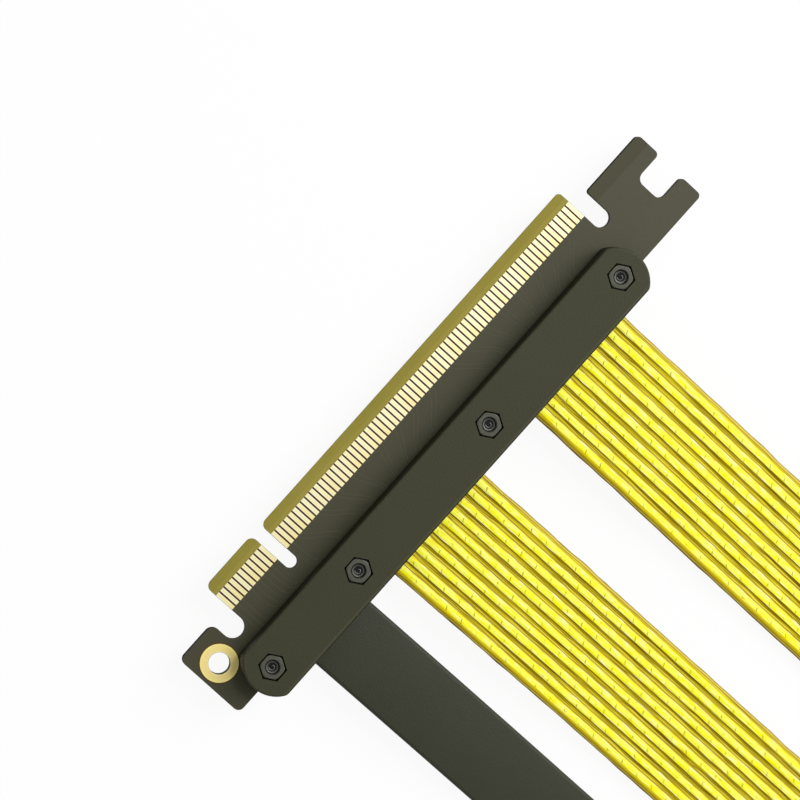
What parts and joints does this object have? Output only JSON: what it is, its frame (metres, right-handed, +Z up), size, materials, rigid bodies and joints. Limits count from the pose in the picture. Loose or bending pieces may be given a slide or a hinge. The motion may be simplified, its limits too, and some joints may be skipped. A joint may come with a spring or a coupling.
{
  "type": "pcie extension cable",
  "caption": "Flat ribbon extension lead for an expansion slot: a card-edge plug board, yellow signal ribbons, a black power ribbon, moulded clamps and an edge socket at the far end.",
  "frame": {"origin": "on the surface that the lead lies on, under the middle of the box around both ends", "axes": "+X along the boards from the mounting-hole end to the fork end, +Y out of the plug's card edge, +Z up"},
  "size_m": [0.1106, 0.247, 0.017],
  "materials": {
    "board": "black solder mask over a glass-fibre board",
    "gold": "gold plating",
    "cover": "fine moulded texture",
    "fastener": "black oxide",
    "signal_ribbon": "yellow film over foil-wrapped pairs",
    "power_ribbon": "satin black jacket",
    "copper": "tinned copper",
    "housing": "moulded",
    "pads": "gold and solder"
  },
  "bodies": {
    "root": {"plug_board": "board", "plug_contacts_top": "gold", "plug_contacts_bottom": "gold", "plug_hole_ring": "gold", "plug_cover_top": "cover", "plug_cover_bottom": "cover", "plug_cover_nuts": "fastener", "plug_cover_screws": "fastener", "plug_solder_pads_top": "pads", "plug_solder_pads_bottom": "pads", "plug_signal_wires": "copper", "plug_power_wires": "copper", "power_ribbon": "power_ribbon", "signal_ribbon_1_upper": "signal_ribbon", "signal_ribbon_1_lower": "signal_ribbon", "signal_ribbon_2_upper": "signal_ribbon", "signal_ribbon_2_lower": "signal_ribbon", "socket_board": "board", "socket_hole_rings": "gold", "socket_contact_pads": "pads", "socket_housing": "housing", "socket_contacts_plug_side": "gold", "socket_contacts_far_side": "gold", "socket_cover_top": "cover", "socket_cover_bottom": "cover", "socket_cover_nuts": "fastener", "socket_cover_screws": "fastener", "socket_solder_pads_top": "pads", "socket_solder_pads_bottom": "pads", "socket_signal_wires": "copper", "socket_power_wires": "copper"}
  },
  "joints": []
}
